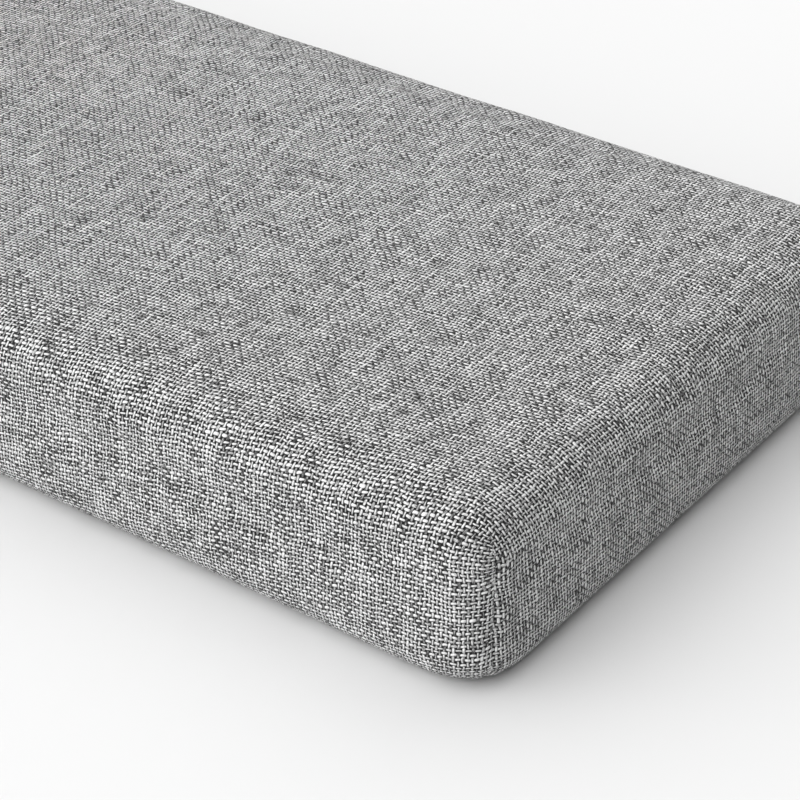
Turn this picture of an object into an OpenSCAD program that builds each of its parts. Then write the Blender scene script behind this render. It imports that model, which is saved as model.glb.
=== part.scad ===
// Fabric-covered kneeling pad with a zipped, removable cover.
// Millimetres, +Z up. The origin is the centre of the underside, +X runs along the
// length, the plain front wall faces -Y and the zipped back wall faces +Y.

/* [Pad] */
// Length of the covered pad
pad_length = 600; // [560:10:900]
// Depth of the covered pad, front to back
pad_depth = 230; // [180:5:320]
// Height of the covered pad
pad_height = 60; // [56:1:80]
// Rounding of the top edges and of the upright corners
edge_r = 15; // [13:1:16]
// Rounding of the lower edge
base_edge_r = 9; // [8:1:10]

/* [Layers] */
// Thickness of the cover fabric
fabric_t = 1; // [0.8:0.1:1.2]
// Thickness of the non-woven lining bag
lining_t = 0.5; // [0.3:0.1:0.6]
// Thickness of the wadding over and under the foam
wadding_t = 3.5; // [3:0.5:5]
// Room between cover and lining at the walls, taken up by seams and zip
wall_gap = 1.3; // [1.3:0.1:2]

/* [Zip] */
// Length of the zip chain between its end stops
zip_length = 470; // [300:10:480]
// Height of the zip's centre line above the underside
zip_height = 24; // [22:1:30]
// Half height of the opening in the back wall
slot_half = 5.2; // [5:0.1:6]
// Width of one zip tape
tape_w = 13; // [12:0.5:13]
// Thickness of a zip tape
tape_t = 0.6; // [0.5:0.1:0.6]

/* [Seams] */
// Width of a folded seam allowance
allowance_w = 3.4; // [3:0.2:3.6]
// Thickness of the two plies of a seam allowance
allowance_t = 0.9; // [0.7:0.1:1]
// Length of one stitch
stitch_l = 3.2; // [2.5:0.1:3.4]
// Distance from one stitch to the next
stitch_pitch = 4; // [3.8:0.1:5]
// Direction of a corner seam in plan, in degrees from the end wall's outward direction
seam_turn = 30; // [30:5:60]

/* [Hidden] */
$fn = 48;

// Overrun of a cutting body past the face it cuts, and overlap of details fused together
clear = 1;
fuse = 0.2;

// Back wall, from the face of the fabric inwards
wall_y = pad_depth / 2;
hem_t = fabric_t;
tape_y = wall_y - fabric_t - hem_t - tape_t;
tape_face_y = tape_y + tape_t;
hem_w = 8;
slot_end = 6;
slot_l = zip_length + 2 * slot_end;
slot_cut = 3;
tape_end = 15;

// Coil rows
coil_w = 1.8;
coil_h = 2.2;
coil_in = 1.5;
coil_out = coil_in + coil_w;
coil_top_y = tape_face_y + coil_h;

// Slider and its bridge
slider_l = 12;
slider_w = 9;
slider_corner_r = 2;
plate_t = 1;
plate_gap = 0.2;
wedge_w = 2.6;
wedge_l = 4.6;
wedge_setback = 0.6;
flange_t = 1;
flange_gap = 0.15;
slider_from_end = 13;
slider_x = zip_length / 2 - slider_from_end;
top_plate_y = coil_top_y + plate_gap;
plate_face_y = top_plate_y + plate_t;
lower_plate_y = tape_y - flange_gap - plate_t;
bridge_w = 1.8;
bridge_t = 1.2;
bridge_half_l = 4.2;

// Pull, hinged on a round bar under the bridge
pull_t = 1.6;
pull_bar_r = 0.8;
pull_gap = 0.2;
pull_w = 6.6;
pull_l = 26;
pull_window_w = 3.4;
pull_window_l = 6.4;
pull_hole_r = 1.7;
pull_hole_x = 21.5;
pivot_y = plate_face_y + pull_gap + pull_bar_r;
bridge_in_y = pivot_y + pull_bar_r + pull_gap;

// Hollow behind the zip, pressed into the filling
well_end = 20;
well_margin = 1.4;
well_gap = 0.5;
well_half_l = zip_length / 2 + well_end;
well_half_h = tape_w + coil_in + well_margin;
well_y = lower_plate_y - well_gap;

// Care label inside the back wall, beyond the end of the zip tapes
label_w = 17;
label_h = 26;
label_t = 0.5;
label_gap = 0.1;
label_rise = 4;
label_from_chain = 36.5;
label_x = -zip_length / 2 - label_from_chain;

// End stops
stop_gap = 0.1;
stop_rise = 0.4;
top_stop_l = 3;
bottom_stop_l = 4.5;

// Ring of seam allowance that lies on the curled lower edge of the cover
seam_gap = 0.4;
ring_gap = 0.1;
ring_inset = base_edge_r - allowance_w - seam_gap;
ring_low = base_edge_r + ring_gap
    - sqrt(pow(base_edge_r - fabric_t, 2) - pow(base_edge_r - ring_inset, 2));

// Corner seams: how far their allowances stop from the curved edges, and how far they spread
seam_end = 1;
seam_spread = 60;

// Sewing threads
seam_thread_r = 0.15;
topstitch_r = 0.3;
topstitch_inset = 2.4;
end_row_gap = 1;

// Half section of a pad edge: from the corner's axis at u = 0 out to the wall at u = reach
module edge_half(reach, low, high, base_r, top_r) {
    translate([0, low + base_r])
        square([reach, high - low - base_r - top_r]);
    translate([reach - base_r, low + base_r])
        intersection() {
            circle(base_r);
            translate([0, -base_r]) square(base_r);
        }
    translate([reach - top_r, high - top_r])
        intersection() {
            circle(top_r);
            square(top_r);
        }
    if (reach > base_r)
        translate([0, low]) square([reach - base_r, base_r]);
    if (reach > top_r)
        translate([0, high - top_r]) square([reach - top_r, top_r]);
}

// Rounded block. It lies in_plan inside the pad's walls and in_height inside its top and underside.
module rounded_block(in_plan, in_height, base_r, top_r) {
    corner_r = edge_r - (in_plan > wall_gap ? in_plan - wall_gap : in_plan);
    half_x = pad_length / 2 - in_plan - corner_r;
    half_y = pad_depth / 2 - in_plan - corner_r;
    low = in_height;
    high = pad_height - in_height;
    translate([-half_x, -half_y, low])
        cube([2 * half_x, 2 * half_y, high - low]);
    for (quarter = [0:3]) {
        across = quarter % 2 == 0;
        far = across ? half_x : half_y;
        side = across ? half_y : half_x;
        rotate([0, 0, 90 * quarter]) {
            translate([far, -side, 0]) rotate([90, 0, 180])
                mirror([1, 0, 0]) linear_extrude(2 * side)
                    edge_half(corner_r, low, high, base_r, top_r);
            translate([far, side, 0])
                rotate_extrude(angle = 90) edge_half(corner_r, low, high, base_r, top_r);
        }
    }
}

module outer_form() { rounded_block(0, 0, base_edge_r, edge_r); }
module cover_inside() {
    rounded_block(fabric_t, fabric_t, base_edge_r - fabric_t, edge_r - fabric_t);
}
module lining_form() {
    r = edge_r - fabric_t;
    difference() {
        rounded_block(fabric_t + wall_gap, fabric_t, r, r);
        zip_well(0);
    }
}
module filling_form() {
    r = edge_r - fabric_t - lining_t;
    difference() {
        rounded_block(fabric_t + wall_gap + lining_t, fabric_t + lining_t, r, r);
        zip_well(lining_t);
    }
}
module foam_form() {
    r = edge_r - fabric_t - lining_t - wadding_t;
    rounded_block(fabric_t + wall_gap + lining_t + wadding_t, fabric_t + lining_t + wadding_t, r, r);
}

// Hollow behind the zip, grown by a margin on every side
module zip_well(margin) {
    translate([-well_half_l - margin, well_y - margin, zip_height - well_half_h - margin])
        cube([2 * (well_half_l + margin), pad_depth, 2 * (well_half_h + margin)]);
}

// Flat rounded rectangle in plan, inset from the pad's walls
module plan_plate(inset, low, thick) {
    r = edge_r - inset;
    size_x = pad_length - 2 * edge_r;
    size_y = pad_depth - 2 * edge_r;
    translate([0, 0, low]) linear_extrude(thick) {
        square([size_x + 2 * r, size_y], center = true);
        square([size_x, size_y + 2 * r], center = true);
        for (sx = [-1, 1], sy = [-1, 1])
            translate([sx * size_x / 2, sy * size_y / 2]) circle(r);
    }
}

// Box given by its low corner and its size, measured from the zip's centre line
module zip_box(x, y, z, size) {
    translate([x, y, zip_height + z]) cube(size);
}

// A stitch of round thread, standing along Z
module stitch(r) {
    cylinder(h = stitch_l, r = r, $fn = 16);
}

module foam_core() {
    color("khaki") foam_form();
}

module wadding_wrap() {
    color("white") difference() {
        filling_form();
        foam_form();
    }
}

module inner_lining() {
    color("gainsboro") difference() {
        lining_form();
        filling_form();
    }
}

// Top panel with its walls in one run of fabric, slotted and hemmed for the zip
module cover_top() {
    color("silver") {
        difference() {
            outer_form();
            cover_inside();
            plan_plate(base_edge_r, -clear, fabric_t + clear);
            zip_box(-slot_l / 2, wall_y - slot_cut, -slot_half,
                    [slot_l, 2 * slot_cut, 2 * slot_half]);
        }
        for (z = [-slot_half - hem_w, slot_half])
            zip_box(-slot_l / 2, wall_y - fabric_t - hem_t, z, [slot_l, hem_t, hem_w]);
    }
}

module cover_base() {
    color("dimgray") plan_plate(base_edge_r, 0, fabric_t);
}

// Two plies pressed flat against the inside of each corner, either side of its seam
module corner_seam_allowances() {
    band_r = edge_r - fabric_t;
    low = base_edge_r + seam_end;
    high = pad_height - edge_r - seam_end;
    color("gray") for (sx = [0, 1], sy = [0, 1])
        mirror([sx, 0, 0]) mirror([0, sy, 0])
            translate([pad_length / 2 - edge_r, pad_depth / 2 - edge_r, low])
                rotate([0, 0, seam_turn - seam_spread / 2]) rotate_extrude(angle = seam_spread)
                    translate([band_r - allowance_t, 0]) square([allowance_t, high - low]);
}

// Upright row of stitches through the allowances of each corner seam
module corner_seam_threads() {
    row_r = edge_r - fabric_t - allowance_t - seam_thread_r;
    low = base_edge_r + 2 * seam_end;
    count = floor((pad_height - edge_r - low - 2 * seam_end) / stitch_pitch);
    color("darkgray") for (sx = [0, 1], sy = [0, 1], i = [0:count - 1])
        mirror([sx, 0, 0]) mirror([0, sy, 0])
            translate([pad_length / 2 - edge_r, pad_depth / 2 - edge_r, low + i * stitch_pitch])
                rotate([0, 0, seam_turn]) translate([row_r, 0, 0]) stitch(seam_thread_r);
}

// Ring of folded fabric edges inside the seam round the underside
module base_seam_allowance() {
    color("gray") difference() {
        plan_plate(ring_inset, ring_low, allowance_t);
        plan_plate(ring_inset + allowance_w, ring_low - clear, allowance_t + 2 * clear);
    }
}

// Row of stitches on top of that ring, along the four straight edges
module base_seam_thread() {
    inset = ring_inset + allowance_w / 2;
    z = ring_low + allowance_t + seam_thread_r;
    color("darkgray") for (quarter = [0:3]) {
        along = quarter % 2 == 0 ? pad_length : pad_depth;
        across = quarter % 2 == 0 ? pad_depth : pad_length;
        count = floor((along - 2 * edge_r) / (2 * stitch_pitch));
        rotate([0, 0, 90 * quarter]) for (i = [0:count - 1])
            translate([-along / 2 + edge_r + 2 * i * stitch_pitch, -across / 2 + inset, z])
                rotate([0, 90, 0]) stitch(seam_thread_r);
    }
}

module zip_tape(side) {
    tape_l = zip_length + 2 * tape_end;
    low = side > 0 ? coil_in : -coil_in - tape_w;
    color("slategray") zip_box(-tape_l / 2, tape_y, low, [tape_l, tape_t, tape_w]);
}
module zip_tape_upper() { zip_tape(1); }
module zip_tape_lower() { zip_tape(-1); }

// Rounded rail that holds the place of one row of the nylon coil
module zip_coil(side) {
    round_r = coil_w / 2;
    color("dimgray") translate([-zip_length / 2, tape_face_y, zip_height + side * (coil_in + round_r)])
        rotate([90, 0, 90]) linear_extrude(zip_length) {
            translate([coil_h - round_r, 0]) circle(round_r);
            translate([0, -round_r]) square([coil_h - round_r, coil_w]);
        }
}
module zip_coil_upper() { zip_coil(1); }
module zip_coil_lower() { zip_coil(-1); }

// Slider plate in the plane of the tapes, y up to y + plate_t
module slider_plate(y) {
    flat_l = slider_l - 2 * slider_corner_r;
    flat_w = slider_w - 2 * slider_corner_r;
    translate([slider_x, y + plate_t, zip_height]) rotate([90, 0, 0]) linear_extrude(plate_t) {
        square([slider_l, flat_w], center = true);
        square([flat_l, slider_w], center = true);
        for (sx = [-1, 1], sz = [-1, 1])
            translate([sx * flat_l / 2, sz * flat_w / 2]) circle(slider_corner_r);
    }
}

// Two plates joined by a wedge, side flanges over the coil rows, and a bridge for the pull
module zip_slider() {
    flange_l = slider_l - 2 * slider_corner_r;
    flange_y = tape_face_y + flange_gap;
    foot_x = bridge_half_l - bridge_t;
    color("lightslategray") {
        slider_plate(top_plate_y);
        slider_plate(lower_plate_y);
        zip_box(slider_x + slider_l / 2 - wedge_l, lower_plate_y, -wedge_w / 2,
                [wedge_l - wedge_setback, plate_face_y - lower_plate_y, wedge_w]);
        for (z = [-slider_w / 2, slider_w / 2 - flange_t])
            zip_box(slider_x - flange_l / 2, flange_y, z,
                    [flange_l, top_plate_y - flange_y + fuse, flange_t]);
        for (x = [-bridge_half_l, foot_x])
            zip_box(slider_x + x, plate_face_y - fuse, -bridge_w / 2,
                    [bridge_t, bridge_in_y - plate_face_y + 2 * fuse, bridge_w]);
        zip_box(slider_x - bridge_half_l, bridge_in_y, -bridge_w / 2,
                [2 * bridge_half_l, bridge_t, bridge_w]);
    }
}

// Flat pull lying along the closed chain, with a window for the bridge and a round hinge bar
module zip_pull() {
    end_r = pull_w / 2;
    color("lightslategray") translate([slider_x, pivot_y, zip_height]) {
        difference() {
            rotate([90, 0, 0]) translate([0, 0, -pull_t / 2]) linear_extrude(pull_t) {
                translate([-pull_l + end_r, -pull_w / 2]) square([pull_l - end_r, pull_w]);
                translate([-pull_l + end_r, 0]) circle(end_r);
            }
            translate([-pull_window_l, -pull_t, -pull_window_w / 2])
                cube([pull_window_l + clear, 2 * pull_t, pull_window_w]);
            translate([-pull_hole_x, 0, 0]) rotate([90, 0, 0])
                cylinder(h = 2 * pull_t, r = pull_hole_r, center = true);
        }
        cylinder(h = pull_w, r = pull_bar_r, center = true);
    }
}

// One metal stop clamped on the end of each coil row
module zip_top_stops() {
    for (z = [-coil_out - stop_gap, coil_in - stop_gap])
        color("lightslategray")
            zip_box(zip_length / 2 + stop_gap, tape_face_y, z,
                    [top_stop_l, coil_h + stop_rise, coil_w + 2 * stop_gap]);
}

// Metal box that joins both rows at the open end's foot
module zip_bottom_stop() {
    color("lightslategray")
        zip_box(-zip_length / 2 - bottom_stop_l - stop_gap, tape_face_y, -coil_out,
                [bottom_stop_l, coil_h + stop_rise, 2 * coil_out]);
}

// Rows of stitches above and below the opening, with a short row across each end
module zip_stitches() {
    row_z = slot_half + topstitch_inset;
    count = floor((slot_l + 2 * slot_end) / stitch_pitch);
    row_l = count * stitch_pitch;
    color("darkgray") translate([0, wall_y + topstitch_r, zip_height]) {
        for (side = [-1, 1], i = [0:count - 1])
            translate([i * stitch_pitch - row_l / 2, 0, side * row_z])
                rotate([0, 90, 0]) stitch(topstitch_r);
        for (end = [-1, 1], i = [0:2])
            translate([end * (row_l / 2 + end_row_gap), 0, (i - 1.5) * stitch_pitch])
                stitch(topstitch_r);
    }
}

module care_label() {
    color("ghostwhite")
        zip_box(label_x, wall_y - fabric_t - label_t - label_gap, -label_h / 2 + label_rise,
                [label_w, label_t, label_h]);
}

foam_core();
wadding_wrap();
inner_lining();
cover_top();
cover_base();
corner_seam_allowances();
corner_seam_threads();
base_seam_allowance();
base_seam_thread();
zip_tape_upper();
zip_tape_lower();
zip_coil_upper();
zip_coil_lower();
zip_slider();
zip_pull();
zip_top_stops();
zip_bottom_stop();
zip_stitches();
care_label();
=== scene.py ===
# %% [markdown]
# # A fabric-covered kneeling pad
# The pad is a foam block in wadding and a thin lining bag, inside a tight, removable cover of
# heathered grey plain weave. This script loads the measured model as a fixed frame and builds
# what the eye sees around it: sewn surfaces, a zip with a real coil, and one finish for each
# material. Every surface is worked out as whole numpy arrays, so each shape can be read as a
# formula. Everything is in metres, with the pad lying on z = 0.

# %% Load the measured model
import math

import bpy
import numpy as np
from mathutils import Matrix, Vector


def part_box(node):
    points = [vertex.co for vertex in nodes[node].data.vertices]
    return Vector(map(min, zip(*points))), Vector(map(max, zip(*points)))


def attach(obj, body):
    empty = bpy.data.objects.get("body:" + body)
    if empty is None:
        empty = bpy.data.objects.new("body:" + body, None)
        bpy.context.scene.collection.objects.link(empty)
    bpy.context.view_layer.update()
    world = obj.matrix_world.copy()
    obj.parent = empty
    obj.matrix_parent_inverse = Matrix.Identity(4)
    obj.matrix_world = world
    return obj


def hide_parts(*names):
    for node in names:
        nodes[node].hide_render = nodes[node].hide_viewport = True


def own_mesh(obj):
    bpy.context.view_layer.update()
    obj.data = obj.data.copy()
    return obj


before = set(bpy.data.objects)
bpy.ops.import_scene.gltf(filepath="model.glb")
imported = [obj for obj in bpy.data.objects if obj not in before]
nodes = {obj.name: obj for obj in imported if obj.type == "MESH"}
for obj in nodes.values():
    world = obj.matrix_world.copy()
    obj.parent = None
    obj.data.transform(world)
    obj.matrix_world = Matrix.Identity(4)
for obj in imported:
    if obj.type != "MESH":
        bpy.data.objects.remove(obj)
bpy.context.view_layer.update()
MM = 0.001
print("loaded", len(nodes), "measured parts")

# %% Driving sizes, read from the measured parts
cover_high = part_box("cover_top")[1]
HALF_L = cover_high.x
HALF_D = cover_high.y
HEIGHT = cover_high.z
EDGE_R = 15 * MM  # rounding of the top edges and of the upright corners
BASE_R = HALF_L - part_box("cover_base")[1].x
FLAT_X = HALF_L - EDGE_R
FLAT_Y = HALF_D - EDGE_R
coil_low, coil_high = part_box("zip_coil_upper")
ZIP_Z = (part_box("zip_slider")[0].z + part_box("zip_slider")[1].z) / 2
SLOT_HALF_H = 5.2 * MM
SLOT_END = 6 * MM  # the opening's length past the end of the coil
SLOT_HALF_L = coil_high.x + SLOT_END
FABRIC_T = 0.9 * MM
CUT_HALF_H = SLOT_HALF_H + FABRIC_T
print(f"pad {2 * HALF_L:.3f} x {2 * HALF_D:.3f} x {HEIGHT:.3f} m, zip line at {ZIP_Z:.4f} m")

# %% [markdown]
# ## The camera
# A long lens looks down on one corner from about three quarters of a metre. The corner is the
# most telling part of a sewn cushion, because the top and both walls meet there. The camera is
# placed from that corner, so it follows the pad if its size changes.

# %% Camera on the front right corner
CAMERA_OFFSET = Vector((0.325, -0.4835, 0.4878))
CAMERA_YAW = math.radians(36.25)
CAMERA_PITCH = math.radians(33.21)
LENS_MM = 118.3
SENSOR_MM = 36.0
camera_data = bpy.data.cameras.new("corner_camera")
camera_data.lens = LENS_MM
camera_data.sensor_width = SENSOR_MM
camera_data.clip_start = 10 * MM
camera = bpy.data.objects.new("corner_camera", camera_data)
bpy.context.scene.collection.objects.link(camera)
camera.location = Vector((HALF_L, -HALF_D, 0)) + CAMERA_OFFSET
looking = Vector((-math.sin(CAMERA_YAW) * math.cos(CAMERA_PITCH),
                  math.cos(CAMERA_YAW) * math.cos(CAMERA_PITCH),
                  -math.sin(CAMERA_PITCH)))
camera.rotation_mode = "QUATERNION"
camera.rotation_quaternion = looking.to_track_quat("-Z", "Y")
bpy.context.scene.camera = camera
print("camera at", [round(v, 3) for v in camera.location])

# %% [markdown]
# ## Shader maths as plain expressions
# A woven cloth is a formula, so it reads best as one. Wire wraps a socket, and adding or
# multiplying wires adds the Math nodes. Recipe holds one material and has a single method that
# adds any other node from its type, its settings and the values of its sockets. The same
# cloth could be wired by hand from a hundred boxes, but nobody could read it.


# %% Wire and Recipe
class Wire:
    """An output socket that can be used in arithmetic with numbers and other wires."""

    def __init__(self, recipe, socket):
        self.recipe = recipe
        self.socket = socket

    def math(self, operation, *others):
        """One Math node with this wire as its first input."""
        return self.recipe.node("ShaderNodeMath", {"operation": operation}, self, *others)

    def __add__(self, other):
        return self.math("ADD", other)

    def __sub__(self, other):
        return self.math("SUBTRACT", other)

    def __mul__(self, other):
        return self.math("MULTIPLY", other)

    def __truediv__(self, other):
        return self.math("DIVIDE", other)

    def __rsub__(self, other):
        return self.recipe.node("ShaderNodeMath", {"operation": "SUBTRACT"}, other, self)

    __radd__ = __add__
    __rmul__ = __mul__

    def floor(self):
        return self.math("FLOOR")

    def fract(self):
        return self.math("FRACT")

    def sin(self):
        return self.math("SINE")

    def root(self):
        return self.math("SQRT")

    def size(self):
        return self.math("ABSOLUTE")

    def at_least(self, other):
        return self.math("MAXIMUM", other)

    def at_most(self, other):
        return self.math("MINIMUM", other)

    def ramp(self, low, high):
        """0 up to low, 1 from high, and a smooth rise between them."""
        settings = {"interpolation_type": "SMOOTHSTEP"}
        return self.recipe.node("ShaderNodeMapRange", settings, self, low, high, 0.0, 1.0)

    def towards(self, other, share):
        """This value where share is 0, other where share is 1."""
        return self + (other - self) * share


class Recipe:
    """One material: a node tree, with one method that adds nodes."""

    def __init__(self, name):
        self.material = bpy.data.materials.new(name)
        self.material.use_nodes = True
        self.tree = self.material.node_tree
        self.tree.nodes.clear()

    def feed(self, socket, value):
        """Links a wire to a socket, or sets the socket to a constant."""
        if isinstance(value, Wire):
            self.tree.links.new(value.socket, socket)
        else:
            socket.default_value = value

    def node(self, kind, settings=None, *values, out=0, **named):
        """Adds a node. Values feed its sockets in order, named ones by name with _ for a space."""
        made = self.tree.nodes.new(kind)
        for key, value in (settings or {}).items():
            setattr(made, key, value)
        for socket, value in zip(made.inputs, values):
            self.feed(socket, value)
        for key, value in named.items():
            self.feed(made.inputs[key.replace("_", " ")], value)
        return Wire(self, made.outputs[out])

    def point(self, x, y, z=0.0):
        """A vector from three values."""
        return self.node("ShaderNodeCombineXYZ", None, x, y, z)

    def parts(self, vector):
        """The three values of a vector."""
        made = self.tree.nodes.new("ShaderNodeSeparateXYZ")
        self.feed(made.inputs[0], vector)
        return [Wire(self, socket) for socket in made.outputs]

    def place(self, source="Object"):
        """Texture coordinates: Object for the pad's own metres, UV for the piece's map."""
        made = self.tree.nodes.new("ShaderNodeTexCoord")
        return Wire(self, made.outputs[source])

    def noise(self, vector, scale, detail=2.0):
        """Smooth noise from 0 to 1, about 0.5 on average."""
        return self.node("ShaderNodeTexNoise", None, out="Fac",
                         Vector=vector, Scale=scale, Detail=detail)

    def shade(self, amount, dark, light):
        """A colour between two tints as amount goes from 0 to 1."""
        made = self.tree.nodes.new("ShaderNodeMix")
        made.data_type = "RGBA"
        self.feed(made.inputs["Factor"], amount)
        for label, tint in (("A", dark), ("B", light)):
            colour_sockets = [s for s in made.inputs if s.name == label and s.type == "RGBA"]
            self.feed(colour_sockets[0], (*tint, 1.0))
        return Wire(self, [s for s in made.outputs if s.type == "RGBA"][0])

    def bump(self, height, distance):
        """A normal from a height of 0 to 1 that stands distance metres high."""
        return self.node("ShaderNodeBump", None, Strength=1.0, Distance=distance,
                         Height=height, out="Normal")

    def finish(self, colour, roughness, normal=None, **constants):
        """The surface shader and the material's output."""
        named = {"Base_Color": colour, "Roughness": roughness, **constants}
        if normal is not None:
            named["Normal"] = normal
        surface = self.node("ShaderNodeBsdfPrincipled", None, out="BSDF", **named)
        output = self.tree.nodes.new("ShaderNodeOutputMaterial")
        self.tree.links.new(surface.socket, output.inputs["Surface"])
        return self.material


print("shader helpers ready")

# %% [markdown]
# ## The cover cloth
# The cloth is a plain weave of slubby two-tone yarns. Each crossing is a cell of a grid: count
# yarns across the cloth, and a cell shows the lengthwise or the crosswise yarn on a
# chessboard. A yarn is a half-round ridge that rises over one neighbour and dives under the
# next, so its height is a ridge profile times a sine wave on a base. Where neither ridge
# covers the cell there is a gap, painted as a near-black dot of shade, and a yarn is painted
# darker where it dives low; this painted shade makes open cloth look open. Each yarn is
# lighter, darker, thicker and thinner along its length, which is the heather. The cloth sits a
# little off its grain on the pad, so one count leans with the other.

# %% The weave as a formula
PITCH_ALONG = 1.38 * MM  # from one crosswise yarn to the next
PITCH_ACROSS = 1.47 * MM  # from one lengthwise yarn to the next
LEAN = 0.105  # how far the lengthwise yarns drift sideways for each step along the pad
YARN_SHARE = 0.57  # of the pitch, covered by an average yarn
SLUB = 0.9  # how much thick and thin places change that share
WANDER_SCALE = 120.0  # per metre: yarns drift off their line over about 8 mm
WANDER = 1.7
TONE_RUN = 0.11  # per crossing: a yarn keeps its tone for about nine crossings
THICK_RUN = 0.16
FIBRE_RUN = 0.7
FIBRES = 3.2  # streaks across one yarn
LIGHTER_LENGTHWISE = 0.18
CROWN, FOOT = 0.40, 0.60  # shares of a yarn's height that wave and that stay


def woven(recipe, along, across):
    """Height, yarn tone and fibre of a plain weave at a point of the flat cloth.

    along / PITCH_ALONG counts the yarns that run across, and (across - LEAN * along) /
    PITCH_ACROSS counts those that run along. A slow noise moves both counts, so that yarns
    wander. For each set height = ridge * (FOOT + CROWN * wave), and the higher one shows.
    The odd factors on the yarn numbers only keep neighbouring yarns unlike each other.
    """
    flat = recipe.point(along, across, 0.0)
    drift_a = recipe.noise(flat, WANDER_SCALE, 3.0) - 0.5
    drift_b = recipe.noise(recipe.point(along, across, 0.31), WANDER_SCALE, 3.0) - 0.5
    count_a = along / PITCH_ALONG + drift_a * WANDER
    count_b = (across - along * LEAN) / PITCH_ACROSS + drift_b * WANDER
    cell_a = count_a.floor()
    cell_b = count_b.floor()
    in_a = count_a - cell_a
    in_b = count_b - cell_b
    # +1 where the yarn that runs across the pad lies on top, -1 where the other one does
    over = ((cell_a + cell_b) * 0.5).fract() * 4.0 - 1.0
    tone_a = recipe.noise(recipe.point(cell_a * 7.31, count_b * TONE_RUN, 0.0), 1.0, 3.0)
    tone_b = recipe.noise(recipe.point(count_a * TONE_RUN, cell_b * 5.17, 9.0), 1.0, 3.0)
    thick_a = recipe.noise(recipe.point(cell_a * 3.7, count_b * THICK_RUN, 4.0), 1.0, 1.0)
    thick_b = recipe.noise(recipe.point(count_a * THICK_RUN, cell_b * 4.3, 5.0), 1.0, 1.0)
    width_a = YARN_SHARE + (thick_a - 0.5) * SLUB
    width_b = YARN_SHARE + (thick_b - 0.5) * SLUB
    side_a = (in_a - 0.5) * 2.0 / width_a
    side_b = (in_b - 0.5) * 2.0 / width_b
    ridge_a = (1.0 - side_a * side_a).at_least(0.0).root()
    ridge_b = (1.0 - side_b * side_b).at_least(0.0).root()
    wave_a = over * (in_b * math.pi).sin()
    wave_b = over * (in_a * math.pi).sin() * -1.0
    high_a = ridge_a * (wave_a * CROWN + FOOT)
    high_b = ridge_b * (wave_b * CROWN + FOOT)
    height = high_a.at_least(high_b)
    shows_a = (high_a - high_b).ramp(-0.05, 0.05)
    tone = tone_b.towards(tone_a, shows_a) + LIGHTER_LENGTHWISE * (0.5 - shows_a)
    strand_a = in_a * FIBRES + cell_a * 9.0
    strand_b = in_b * FIBRES + cell_b * 9.0
    fibre_a = recipe.noise(recipe.point(strand_a, count_b * FIBRE_RUN, 0.0), 1.0, 2.0)
    fibre_b = recipe.noise(recipe.point(count_a * FIBRE_RUN, strand_b, 0.0), 1.0, 2.0)
    return height, tone, fibre_b.towards(fibre_a, shows_a)


# The dark end of the scale is painted shade: the colour of the gaps between the yarns
SHADED_GAP_TINT, LIGHTEST = 0.006, 0.95
MEAN_TONE, DARKEST_YARN = 0.86, 0.04
TONE_CONTRAST, FIBRE_CONTRAST = 2.8, 3.4
SHADE_BELOW, UNSHADED_ABOVE = 0.30, 0.60  # heights between which painted shade in gaps and low yarn fades to the yarn's own tone
YARN_RELIEF = 0.9 * MM


def cover_cloth(name, source):
    """Heathered grey linen-look cloth with painted shade in its gaps, laid out on the piece's map
    or on its own metres.
    """
    recipe = Recipe(name)
    along, across, upward = recipe.parts(recipe.place(source))
    if source == "Object":
        across = across - upward
    height, tone, fibre = woven(recipe, along, across)
    yarn = (tone - 0.5) * TONE_CONTRAST + (fibre - 0.5) * FIBRE_CONTRAST + MEAN_TONE
    lit = yarn.at_least(DARKEST_YARN).at_most(1.0)
    # Painted shade: the colour darkens with the yarn's height, so gaps and places where a yarn
    # dives under are painted dark
    amount = lit * height.ramp(SHADE_BELOW, UNSHADED_ABOVE)
    colour = recipe.shade(amount, (SHADED_GAP_TINT,) * 3, (LIGHTEST,) * 3)
    normal = recipe.bump(height * 0.85 + fibre * 0.15, YARN_RELIEF)
    return recipe.finish(colour, 0.88, normal, Specular_IOR_Level=0.25, Sheen_Weight=0.15,
                         Sheen_Roughness=0.5)


COVER_CLOTH = cover_cloth("heathered_grey_weave", "UV")
SEAM_CLOTH = cover_cloth("heathered_grey_weave_turned_in", "Object")
print("cover cloth:", len(COVER_CLOTH.node_tree.nodes), "nodes")

# %% [markdown]
# ## The other finishes
# Each hidden or small piece gets its own finish at its own scale: foam is a field of open
# cells, wadding is matted fibre, the lining is point-bonded film, tapes are fine ribs, and
# metal is plated and lightly brushed. They read Object coordinates, which are the pad's own
# metres, so no pattern slides when a piece moves.


# %% Soft finishes
def base_cloth():
    """Dark twill: diagonal ribs from one saw-tooth of x + y."""
    recipe = Recipe("dark_twill")
    x, y, _ = recipe.parts(recipe.place())
    rib = (((x + y) / (0.9 * MM)).fract() - 0.5).size() * 2.0
    cut = (((x - y) / (0.45 * MM)).fract() - 0.5).size() * 2.0
    fleck = recipe.noise(recipe.place(), 900.0, 2.0)
    amount = rib * 0.5 + cut * 0.2 + fleck * 0.3
    colour = recipe.shade(amount, (0.05, 0.05, 0.052), (0.21, 0.21, 0.214))
    return recipe.finish(colour, 0.9, recipe.bump(rib * 0.7 + cut * 0.3, 0.15 * MM),
                         Specular_IOR_Level=0.2)


def grip_rubber():
    """Soft printed dots: nearly black, satin, with a fine grain."""
    recipe = Recipe("grip_dot_rubber")
    grain = recipe.noise(recipe.place(), 2500.0, 2.0)
    colour = recipe.shade(grain, (0.018, 0.018, 0.02), (0.04, 0.04, 0.042))
    return recipe.finish(colour, 0.45 + grain * 0.2, recipe.bump(grain, 0.03 * MM))


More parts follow.
